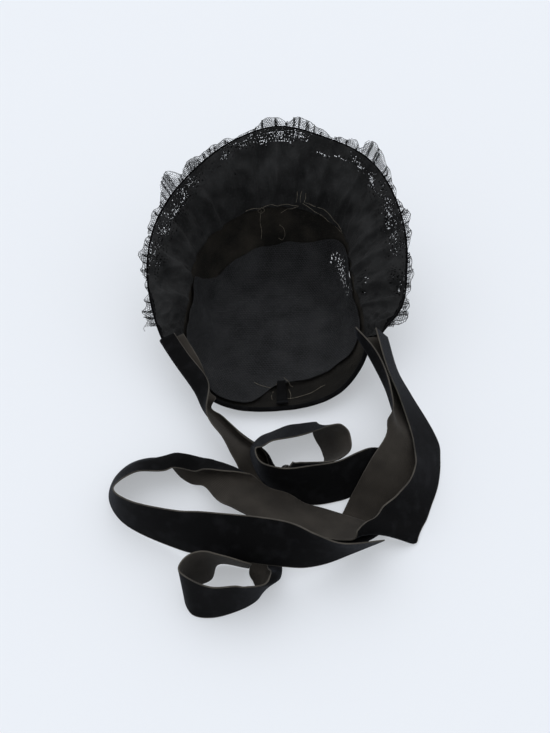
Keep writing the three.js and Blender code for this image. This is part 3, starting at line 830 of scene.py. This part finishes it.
def fold_height(angle, t):
    """Height of the gathered cloth over the brim: ripples, deep folds and small wrinkles."""
    ripple = 1.1 * (1 - np.cos(np.radians(angle * 15)))
    deep = 0
    for at, wide, high, lean in FOLDS:
        off = (angle - at - lean * t) / wide
        deep = deep + high * bell(off / np.where(off > 0, 0.55, 1.3))
    swell = np.sin(np.pi * (0.15 + 0.7 * np.clip(t, 0, 1)))
    turn = np.radians(angle)
    small = np.sin(96 * turn + 5 * wander(angle, 41, 16) + 2 * t) * np.clip(0.7 - 1.3 * t, 0, 1)
    limp = crumple(angle * 1.6, t * 50, 17, 17) + 0.7 * crumple(angle * 1.6, t * 40, 18, 8)
    pinched = 1 - np.abs(crumple(angle * 1.9, t * 45, 19, 13))
    wrinkles = 0.3 * small + ramp(t, 0, 0.25) * (0.7 * limp + 0.8 * pinched)
    return (ripple + deep) * swell + 0.7 + wrinkles


def ruche_depth(angle, t):
    """Depth of the side of the gathered cloth that lies towards the brim."""
    return BRIM_WALL + GAP + np.maximum(fold_height(angle, t), 0)


ruche_turns = np.linspace(BRIM_LEFT - BRIM_TUCK + 1, BRIM_RIGHT + BRIM_TUCK - 1, 980)
steps = brim_steps(ruche_turns, 2 * GAP, frayed_back(ruche_turns), 16, 30)
grids = laid(brim_point, ruche_turns, steps, ruche_depth, lambda a, t: ruche_depth(a, t) + RUCHE_WALL)
holes = worn_cells(ruche_turns, steps, 0.0)
ruche = cut("gathered_brim_cloth", grids, gathered_cloth, "brim_ruche", gone=holes)

# %% [markdown]
# ## Wire
#
# A milliner's wire runs round the edge of the brim. It is covered with black cotton and
# whipped to the net with a stitch every few millimetres, so it shows as a thin dark line
# with a slight knot at each stitch. Geometry Nodes set the stitches along the wire.

# %% covered wire with its stitches


def spline(name, points):
    """Open poly curve through points in millimetres."""
    curve = bpy.data.curves.new(name, "CURVE")
    curve.dimensions = "3D"
    line = curve.splines.new("POLY")
    line.points.add(len(points) - 1)
    rows = np.column_stack([points * MM, np.ones(len(points))])
    line.points.foreach_set("co", rows.astype(np.float32).ravel())
    return linked(name, curve)


def whipped_tree():
    """Round cord along a curve, with a slanting stitch round it at equal steps."""
    numbers = {"Radius": 0.001, "Stitch Step": 0.004, "Stitch Radius": 0.0002, "Slant": 0.5}
    tree, given = group("whipped_cord", numbers, ["Cord", "Stitch"])
    line, radius = given["Geometry"], given["Radius"]
    cord = round_tube(tree, line, 10, radius, caps=True)
    spacing = {"Curve": line, "Length": given["Stitch Step"]}
    spots = node(tree, "GeometryNodeCurveToPoints", spacing, mode="LENGTH").outputs
    stitch = round_tube(tree, ring_curve(tree, 10, radius), 4, given["Stitch Radius"])
    tilt = outcome(tree, "ShaderNodeCombineXYZ", {"X": given["Slant"]})
    leaning = outcome(tree, "GeometryNodeTransform", {"Geometry": stitch, "Rotation": tilt})
    sewing = {"Points": spots["Points"], "Instance": leaning, "Rotation": spots["Rotation"]}
    sewn = outcome(tree, "GeometryNodeInstanceOnPoints", sewing)
    real = outcome(tree, "GeometryNodeRealizeInstances", {"Geometry": sewn})
    joined = node(tree, "GeometryNodeJoinGeometry")
    tree.links.new(coated(tree, cord, given["Cord"]), joined.inputs[0])
    tree.links.new(coated(tree, real, given["Stitch"]), joined.inputs[0])
    tree.links.new(joined.outputs[0], tree.nodes.new("NodeGroupOutput").inputs[0])
    return tree


whip_nodes = whipped_tree()


def whipped(name, line, cord, thread, radius, step, stitch, slant):
    """Cord along a line of points, with its stitches; lengths in metres."""
    values = {"Radius": radius, "Stitch Step": step, "Stitch Radius": stitch, "Slant": slant}
    base = spline(name + "_line", line)
    return grown(name, base, whip_nodes, {**values, "Cord": cord, "Stitch": thread})


wire_line = inside(brim_point, brim_turns, 1, BRIM_WALL / 2)
wire = whipped(
    "covered_wire", wire_line, velvet, net_thread, radius=0.00075, step=0.0045, stitch=0.0002, slant=0.5
)
wire.data.shade_smooth()
keep_piece(wire, ["edge_wire"])

# %% [markdown]
# ## Net ruffle
#
# A strip of net, folded double, is gathered along the wire. Past the wire it stands out
# in soft lobes with uneven edges, and inside the wire both its layers reach a few
# millimetres over the gathered cloth. A flat net lies between the brim's two cloths.
# Where the layers cross, their threads close up and the net looks dark. Where the cloth
# has worn into holes, the pale table shows through as specks.

# %% shape of the ruffle
# Lobes past the wire: direction, width before and after it in degrees, reach in mm.
LOBES = [
    (-112, 9, 9, 7), (-84, 8, 8, 5), (-68, 8, 6, 5), (-52, 8, 4, 16), (-42, 4, 6, 10), (-33, 5, 12, 6),
    (-3, 6, 7, 8), (9, 5, 11, 9), (31, 5, 5, 6), (39, 3, 13, 13), (70, 8, 8, 5), (92, 7, 7, 4),
    (112, 8, 8, 7),
]
PLEAT, PLEAT_FOLD = 19, 0.26
RUFFLE_LIMIT, RUFFLE_CELL = 26, 1.6


def lobe_reach(angle):
    """How far the ruffle stands past the wire, in millimetres."""
    reach = 0
    for at, before, after, far in LOBES:
        off = angle - at
        reach = np.maximum(reach, far * bell(off / np.where(off < 0, before, after)))
    return 2 + reach + wander(angle, 51, 40, 24)


def ruffle_point(angle, past, phase, lift=0.0):
    """Point past millimetres outside the wire; inside the wire the ruffle lies on the folds."""
    t = 1 + past / slant(angle)
    swing = np.clip(past, 0, None) / (4 + np.clip(past, 0, None))
    turn = np.radians(angle)
    wave = np.sin(38 * turn + phase + 2.2 * wander(angle, 61, 14)) + 0.5 * np.sin(83 * turn + 2 * phase)
    over = ruche_depth(angle, t) + RUCHE_WALL + 0.8
    lie = ramp(past, 0, -12)
    depth = (1 - lie) * (BRIM_WALL / 2) + lie * over - (2.2 * wave + 1.6 * lift) * swing
    return inside(brim_point, angle, t, depth)


def ruffle_layer(name, start, fullness, phase, seed, reach, torn):
    """Layer of pleated net, from start (negative inside the wire) to its reach past the wire."""
    width = np.radians(BRIM_RIGHT - BRIM_LEFT - 10) * RIM_RADIUS * fullness

    def pleat(along):
        return 2 * np.pi * along / PLEAT + 2.4 * wander(along * 0.4, seed, 12, 9) + phase

    def turn_of(along):
        folded = along + PLEAT_FOLD * PLEAT * np.sin(pleat(along))
        return BRIM_LEFT + 5 + np.degrees(folded / (RIM_RADIUS * fullness))

    base = triangle_sheet(
        width,
        RUFFLE_LIMIT - start,
        RUFFLE_CELL,
        lambda along, over: over + start < reach(turn_of(along)),
        lambda along, over: ruffle_point(turn_of(along), over + start, phase, np.cos(pleat(along))),
    )
    return net(name, base, radius=0.00021, torn=torn, seed=seed, unevenness=0.0005)


def back_reach(angle):
    return lobe_reach(angle + 1.5) - 1


front = ruffle_layer("net_ruffle_front", -10, fullness=2.1, phase=0.0, seed=11, reach=lobe_reach, torn=0.06)
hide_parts("net_frill")
ruffle_layer("net_ruffle_back", -7, fullness=2.0, phase=1.9, seed=12, reach=back_reach, torn=0.08)

# %% flat net on the brim
FLAT_NET_WIDTH, FLAT_NET_DEPTH, FLAT_NET_CELL = 24, 1.5, 1.5


def flat_net_point(along, over):
    angle = BRIM_LEFT + 1 + np.degrees(along / RIM_RADIUS)
    return inside(brim_point, angle, 1 + (over - FLAT_NET_WIDTH) / slant(angle), FLAT_NET_DEPTH)


base = triangle_sheet(
    np.radians(BRIM_RIGHT - BRIM_LEFT - 2) * RIM_RADIUS,
    FLAT_NET_WIDTH,
    FLAT_NET_CELL,
    lambda along, over: over - FLAT_NET_WIDTH < -0.5,
    flat_net_point,
)
net("brim_frame_net", base, radius=0.00026, torn=0.04, seed=13)

# %% edge thread of the ruffle
edge_turns = np.linspace(BRIM_LEFT + 4, BRIM_RIGHT - 4, 700)
hem_line = ruffle_point(edge_turns, lobe_reach(edge_turns) - 1.2, 0.0)
hem = whipped(
    "net_ruffle_edge", hem_line, net_thread, net_thread, radius=0.0002, step=0.006, stitch=0.00012, slant=0.6
)
keep_piece(hem, [])

# %% [markdown]
# ## Worn patch
#
# Where the band of the crown has worn through, the net that lay on it is left. It is a
# small piece of the same net, with the smallest cells.

# %% net in the worn patch
PATCH_TURN, PATCH_T, PATCH_WIDTH, PATCH_HEIGHT = 26, 0.45, 96, 40
PATCH_CELL, PATCH_DEPTH, PATCH_DEGREE = 1.4, 1.0, 1.45


def patch_place(along, over):
    return PATCH_TURN + along / PATCH_DEGREE, PATCH_T + over / PROFILE_MM


base = triangle_sheet(
    PATCH_WIDTH,
    PATCH_HEIGHT,
    PATCH_CELL,
    lambda along, over: worn_away(*patch_place(along, over)) > 0.6,
    lambda along, over: inside(crown_point, *patch_place(along, over), PATCH_DEPTH),
)
net("worn_patch_net", base, radius=0.0002, torn=0.08, seed=15)

# %% [markdown]
# ## Nape
#
# The nape edge is bound with a roll of velvet, and a small velvet tab is sewn over the
# middle of it. Both are sewn by hand, so the roll swells a little between its stitches.

# %% velvet roll
BINDING_RADIUS, BINDING_HOLD = 2.2, 0.9
nape_turns = np.linspace(BRIM_RIGHT + 3, 360 + BRIM_LEFT - 3, 180)
nape_on = unit(crown_point(nape_turns, 1) - crown_point(nape_turns, 0.998))
nape_line = inside(crown_point, nape_turns, 1, CROWN_WALL / 2) + nape_on * (BINDING_RADIUS - BINDING_HOLD)


def roll(line, radius, sides=14):
    """Grid of points round a line, its radius given for each point."""
    along = unit(np.gradient(line, axis=0))
    side = unit(np.cross((0, 0, 1), along))
    up = np.cross(along, side)
    turn = np.linspace(0, 2 * np.pi, sides, endpoint=False)
    ring = np.cos(turn)[:, None, None] * side + np.sin(turn)[:, None, None] * up
    return line + ring * np.asarray(radius)[:, None]


uneven = 0.08 * np.sin(np.radians(nape_turns * 40)) * wander(nape_turns, 71, 10)
swell = BINDING_RADIUS * (0.92 + uneven)
swell[[0, -1]] = 0.4
tube = roll(nape_line, swell)
index = np.arange(tube.shape[0] * tube.shape[1]).reshape(tube.shape[:2])
nxt = np.roll(index, -1, 0)
faces = np.stack([index[:, :-1], nxt[:, :-1], nxt[:, 1:], index[:, 1:]], -1).reshape(-1, 4)
lay = np.stack([lengths(tube, 1), lengths(tube, 0)], -1).reshape(-1, 2)
binding = piece("nape_velvet_roll", tube.reshape(-1, 3), faces, lay, [velvet])
keep_piece(binding, ["nape_binding"])

# %% velvet tab
TAB_TURN, TAB_WIDTH, TAB_WALL, NAPE_RADIUS = 178, 10, 1.1, 112
TAB_HALF = math.degrees(TAB_WIDTH / 2 / NAPE_RADIUS)
TAB_START, TAB_END = 0.4, 1.01


def tab_depth(angle, t):
    """Depth of the tab: it comes off the lining, lies on the band and rises over the roll."""
    arch = 1 - ((angle - TAB_TURN) / TAB_HALF) ** 2
    over_lining = 2.6 * ramp(t, 0.6, 0.48)
    over_roll = 1.8 * ramp(t, 0.9, 0.98)
    puffed = 0.5 * arch * np.sin(np.pi * (t - TAB_START) / (TAB_END - TAB_START))
    crushed = 0.12 * crumple(angle * 2, t * 50, 19, 7)
    return CROWN_WALL + 3 * GAP + over_lining + over_roll + puffed + crushed


tab_turns = np.linspace(TAB_TURN - TAB_HALF, TAB_TURN + TAB_HALF, 17)
tab_steps = np.linspace(TAB_START, TAB_END, 48)
grids = laid(crown_point, tab_turns, tab_steps, tab_depth, lambda a, t: tab_depth(a, t) + TAB_WALL)
cut("nape_velvet_tab", grids, velvet, "back_tab")

# %% [markdown]
# ## Hand stitches
#
# Pale cotton threads are left inside: a row of stitches along the seam at the top, two
# long doubled threads to its right, a knot with a loose tail, and a few long stitches
# beside the tab. Each is a short list of places on the cloth: a direction in degrees
# and a place on the profile, where the brim starts at 1.

# %% threads on the cloths
THREADS = {
    "seam_row": [(-9, 1.02), (-4, 1.05), (1, 1.03), (7, 1.06), (12.5, 1.05)],
    "seam_left": [(-20, 1.03), (-15, 1.05), (-11, 1.02)],
    "long_thread_upper": [(16.5, 1.12), (27, 1.12), (36, 1.08), (43.5, 1.02)],
    "long_thread_lower": [(15, 1.1), (25, 1.04), (34, 1.0), (42.5, 0.98)],
    "slanting_thread": [(2, 0.94), (6, 0.99), (12, 1.04)],
    "knot_tail": [(-10, 0.98), (-10.8, 0.86), (-10, 0.74), (-10.5, 0.62)],
    "knot_loop": [(-12, 0.99), (-10, 1.02), (-8, 0.98), (-10, 0.95), (-12, 0.98), (-10.5, 1.01)],
    "loose_curl": [(1, 0.8), (3.5, 0.76), (4.5, 0.68), (3, 0.6), (0.5, 0.63)],
    "stitch_one": [(11, 1.1), (11.4, 1.17), (11.2, 1.24)],
    "stitch_two": [(13.5, 1.11), (13.2, 1.18), (13.6, 1.25)],
    "stitch_three": [(15.8, 1.12), (16.2, 1.18), (16, 1.24)],
    "tab_left": [(-166, 0.45), (-171, 0.5), (-176, 0.54)],
    "tab_right_long": [(177.5, 0.8), (170, 0.76), (163, 0.73), (155, 0.71)],
    "tab_right_short": [(176, 0.3), (174, 0.4), (171.5, 0.49)],
    "tab_top": [(181, 0.46), (179, 0.44), (177, 0.46), (178.5, 0.49)],
    "tab_side_left": [(-177.4, 0.56), (-176.8, 0.68), (-177.2, 0.8)],
    "tab_side_right": [(174, 0.53), (173.4, 0.66), (174, 0.8)],
}
THREAD_RADIUS, THREAD_TWIST = 0.00014, 0.0016


def thread_place(angle, place):
    """Point just over the cloth: on the crown up to 1, on the gathered brim past it."""
    if place > 1:
        return inside(brim_point, angle, place - 1, ruche_depth(angle, place - 1) + RUCHE_WALL + 0.4)
    over = float(band_inside(angle, place)) + 0.6
    lined = float(lining_depth(angle, place)) + LINING_WALL + NET_ON_LINING + 0.3
    is_over_lining = place < float(lining_edge(angle)) + 0.03
    return inside(crown_point, angle, place, max(over, lined) if is_over_lining else over)


def smooth_line(points, per):
    """Smooth curve through rows of numbers."""
    points = np.array(points, float)
    slope = np.gradient(points, axis=0)
    out = [points[:1]]
    for i in range(len(points) - 1):
        s = np.linspace(0, 1, per + 1)[1:, None]
        out.append(hermite(points[i], points[i + 1], slope[i], slope[i + 1], s))
    return np.concatenate(out)


for name, route in THREADS.items():
    line = smooth_line([thread_place(*spot) for spot in smooth_line(route, 4)], 4)
    ply = {"radius": THREAD_RADIUS, "step": THREAD_TWIST, "stitch": THREAD_RADIUS * 0.45, "slant": 0.9}
    keep_piece(whipped("thread_" + name, line, pale_thread, pale_thread, **ply), [])

# %% [markdown]
# ## Ribbon ties
#
# The ties are 38 mm velvet ribbon: black pile on the face, a brown ribbed back and a
# pale woven edge. They lie as they were dropped, in loops that stand on edge, fold and
# lean. Each route below lists sections: the middle of the ribbon, the direction
# of its upper edge in degrees, and how far its two halves curl towards the back.

# %% routes of the three ties
# Middle x, y, z and aim in turn and rise. Where the ribbon curls, the curl of its lower and
# upper half in degrees and where the lower curl starts follow, else they are 0.
LEFT_ROUTE = [
    (-98, -62, 37, 205, 12, 30, 150, 0), (-86, -81, 31, 205, 18, 30, 150, 0),
    (-68, -111, 26, 212, 58, 30, 90, 0), (-60, -126, 20, 262, 45, 150, 20, 14),
    (-39, -145, 14, 249, 42, 165, 0, 5), (-21, -162, 8, 218, 26, 170, 0, 9),
    (-10, -175, 3, 230, 6, 170, 0, 6), (2, -179, 4, 260, 8, 170, 38, 0),
    (14, -188, 17, 272, 62, 170, 20, 19), (42, -174, 16, 296, 54, 0, 0, 19),
    (47, -164, 15, 318, 48), (45, -152, 16, 327, 50), (39, -144, 16, 310, 53),
    (32, -137, 14, 270, 42), (15, -139, 12, 270, 37), (-4, -150, 19, 270, 43),
    (-14, -161, 25, 276, 44), (-20, -174, 31, 280, 55), (-14, -192, 29, 277, 72),
    (4, -201, 23, 115, 88), (27, -200, 20, 93, 72), (48, -195, 19, 98, 71), (66, -186, 18, 95, 63),
    (84, -181, 13, 100, 30), (104, -175, 5, 95, 8),
]
RIGHT_LOWER_ROUTE = [
    (71, -58, 37, 195, 14, 10, 70, 0), (81, -84, 34, 198, 25, -25, 80, 0),
    (90, -112, 32, 205, 38, 5, 60, 0), (95, -138, 32, 212, 42, 10, 40, 0),
    (102, -162, 25, 160, 33, 0, 5, 19), (88, -189, 20, 157, 24, 0, 0, 19),
    (75, -208, 5, 148, 10, 170, 0, 19), (60, -234, 2, 146, 0, 170, 0, 9),
    (38, -243, 2, 124, 0, 172, 0, 4), (-2, -258, 3, 145, 0, 172, 0, 3),
    (-3, -268, 5, 165, -12, 172, 0, 3), (-3, -280, 13, 165, -36, 160, 0, 4),
    (-8, -292, 19, 132, -66, 90, 0, 11), (-18, -298, 19, 93, -76, 0, 0, 19),
    (-31, -302, 20, 100, -87), (-49, -305, 20, 254, -86), (-64, -300, 20, 274, -80),
    (-71, -289, 20, 350, -86), (-66, -280, 20, 345, -82), (-55, -274, 20, 0, -78),
    (-45, -268, 19, 100, -68), (-21, -273, 18, 99, -61),
]
RIGHT_UPPER_ROUTE = [
    (88, -56, 42, 235, 54), (96, -90, 32, 243, 48), (105, -111, 25, 241, 44),
    (119, -148, 14, 229, 36), (120, -172, 14, 229, 40), (115, -194, 14, 221, 42),
    (107, -210, 14, 208, 43), (97, -225, 14, 190, 39), (84, -244, 18, 184, 38),
    (62, -242, 18, 240, 30), (31, -229, 12, 249, 21), (10, -223, 16, 250, 22),
    (-12, -217, 20, 260, 15, 60, 0, 15), (-32, -202, 20, 252, 10, 150, 0, 9),
    (-50, -179, 17, 238, -16, 155, 0, 0), (-71, -172, 15, 255, -55, 145, 0, 1),
    (-95, -170, 13, 97, -55, 50, 0, 0), (-114, -175, 15, 104, -50, 25, 0, 0),
    (-127, -190, 17, 112, -55, 15, 0, 0), (-130, -209, 18, 115, -63), (-118, -225, 20, 139, -77),
    (-77, -243, 22, 251, -76), (-53, -251, 28, 254, -67), (2, -265, 36, 257, -62),
    (27, -267, 31, 313, -84), (51, -264, 28, 59, -64), (76, -257, 26, 100, -60),
]

# %% surface of a ribbon
RIBBON_WIDTH, RIBBON_WALL, RIBBON_BEND = 38, 1.0, 8
EDGE_SHARE = 0.97
PER_SECTION = 8
TABLE_CLEAR = 0.8
ACROSS = np.concatenate([[-1], np.linspace(-EDGE_SHARE, EDGE_SHARE, 21), [1]])


def smooth_rows(rows, per):
    """Smooth run through rows of numbers, spaced by the square root of their distance."""
    span = np.sqrt(np.linalg.norm(np.diff(rows[:, :3], axis=0), axis=1))[:, None]
    slope = np.diff(rows, axis=0) / span
    share = span[1:] / (span[1:] + span[:-1])
    tangent = np.concatenate([slope[:1], slope[:-1] * share + slope[1:] * (1 - share), slope[-1:]])
    s = (np.arange(per) / per)[:, None]
    leave, arrive = tangent[:-1] * span, tangent[1:] * span
    runs = [hermite(*ends, s) for ends in zip(rows[:-1], rows[1:], leave, arrive)]
    return np.concatenate([*runs, rows[-1:]])


def into_bend(way, angle):
    """Distance along and rise of a point that lies some way into a bend of the given angle."""
    turn = np.where(np.abs(angle) < 1e-4, 1e-4, angle)
    radius = RIBBON_BEND / turn
    bent = np.clip(way, 0, RIBBON_BEND) / radius
    past = np.maximum(way - RIBBON_BEND, 0)
    along = np.minimum(way, 0) + radius * np.sin(bent) + past * np.cos(turn)
    return along, radius * (1 - np.cos(bent)) + past * np.sin(turn)


def ribbon_surface(route, velvet_side):
    """Middle surface of a ribbon, a row of points across it for each station along it."""
    rows = np.array([(*section, 0, 0, 0)[:8] for section in route], float)
    turn, rise = np.radians(rows[:, 3]), np.radians(rows[:, 4])
    aim = np.column_stack([np.cos(rise) * np.cos(turn), np.cos(rise) * np.sin(turn), np.sin(rise)])
    station = smooth_rows(np.column_stack([rows[:, :3], aim, rows[:, 5:]]), PER_SECTION)
    middle = station[:, :3]
    way = unit(np.concatenate([middle[1:], middle[-1:]]) - np.concatenate([middle[:1], middle[:-1]]))
    aim = unit(station[:, 3:6])
    right = np.cross(way, aim)
    stretch = 1 / np.maximum(np.linalg.norm(right, axis=1), 0.75)
    back = -velvet_side * unit(right)
    low, high, at = station[:, 6:7], station[:, 7:8], np.maximum(station[:, 8:9], 0)
    below = ACROSS[None] < 0
    skip = np.where(below, at, 0)
    way_out = np.abs(ACROSS)[None] * RIBBON_WIDTH / 2 - skip
    along, up = into_bend(way_out, np.radians(np.where(below, low, high)))
    reach = np.sign(ACROSS)[None] * (along + skip) * stretch[:, None]
    surface = middle[:, None] + aim[:, None] * reach[..., None] + back[:, None] * up[..., None]
    need = np.maximum(TABLE_CLEAR - surface[..., 2].min(1), 0)
    lift = need
    for _ in range(3):
        spread = np.pad(lift, 2, mode="edge")
        lift = np.maximum(np.convolve(spread, np.ones(5) / 5, mode="valid"), need)
    surface[..., 2] += lift[:, None]
    return surface

# %% the three ties


def tie(name, node_name, route, velvet_side):
    """Ribbon with velvet on one face, brown on the other and a pale woven edge."""
    surface = ribbon_surface(route, velvet_side)
    out = unit(np.cross(np.gradient(surface, axis=0), np.gradient(surface, axis=1)))
    half = out * RIBBON_WALL / 2
    points, faces, lay, side = sheet_mesh(surface + half, surface - half)
    column = np.tile(np.arange(len(ACROSS) - 1), len(surface) - 1)
    on_edge = (column == 0) | (column == len(ACROSS) - 2)
    faced = np.array([0, 1, 2] if velvet_side > 0 else [1, 0, 2])[side]
    faced[: 2 * len(on_edge)][np.tile(on_edge, 2)] = 2
    faced[-2 * (len(ACROSS) - 1) :] = 1  # the two cut ends show the brown ground
    made = piece(name, points, faces, lay, [velvet, ribbon_back, ribbon_edge], faced)
    keep_piece(made, [node_name])
    return made


tie("left_ribbon", "tie_left", LEFT_ROUTE, 1)
tie("right_ribbon_lower", "tie_right_lower", RIGHT_LOWER_ROUTE, 1)
tie("right_ribbon_upper", "tie_right_upper", RIGHT_UPPER_ROUTE, -1)

# %% [markdown]
# ## Table, light and camera
#
# The bonnet lies on a plain, slightly bluish white surface in a light tent: soft light
# from all round, a little more from above, and hardly a shadow. The camera looks down
# at 48 degrees from the nape side, a metre away.

# %% table
sheet = bpy.data.meshes.new("table_top")
sheet.from_pydata([(-4, -4, 0), (4, -4, 0), (4, 4, 0), (-4, 4, 0)], [], [(0, 1, 2, 3)])
table_top = linked("table_top", sheet)
white = {
    "Base Color": (0.5, 0.52, 0.56, 1), "Roughness": 0.6, "Specular IOR Level": 0.2,
    "Emission Color": (0.94, 0.97, 1, 1), "Emission Strength": 0.365,
}
sheet.materials.append(dress(shader("table_white")[0], white))

# %% light tent
world = bpy.data.worlds.new("tent")
bpy.context.scene.world = world
world.use_nodes = True
tent = {"Color": (0.96, 0.98, 1, 1), "Strength": 0.84}
fill(world.node_tree, world.node_tree.nodes["Background"].inputs, tent)
lamp = bpy.data.lights.new("tent_top", "SUN")
lamp.energy, lamp.angle = 0.6, math.radians(70)
tent_top = linked("tent_top", lamp)
tent_top.rotation_euler = Vector((0.25, -0.35, -1)).to_track_quat("-Z", "Y").to_euler()

# %% camera
AIM = Vector((-0.0026, -0.057, 0))
DOWN, AWAY = math.radians(48), 1.05
view = bpy.data.cameras.new("view")
view.sensor_width, view.lens = 36, 58.94
view.dof.use_dof = False
camera = linked("view", view)
camera.location = AIM + AWAY * Vector((0, -math.cos(DOWN), math.sin(DOWN)))
camera.rotation_euler = (AIM - camera.location).to_track_quat("-Z", "Y").to_euler()
bpy.context.scene.camera = camera
bpy.context.scene.view_settings.view_transform = "Standard"
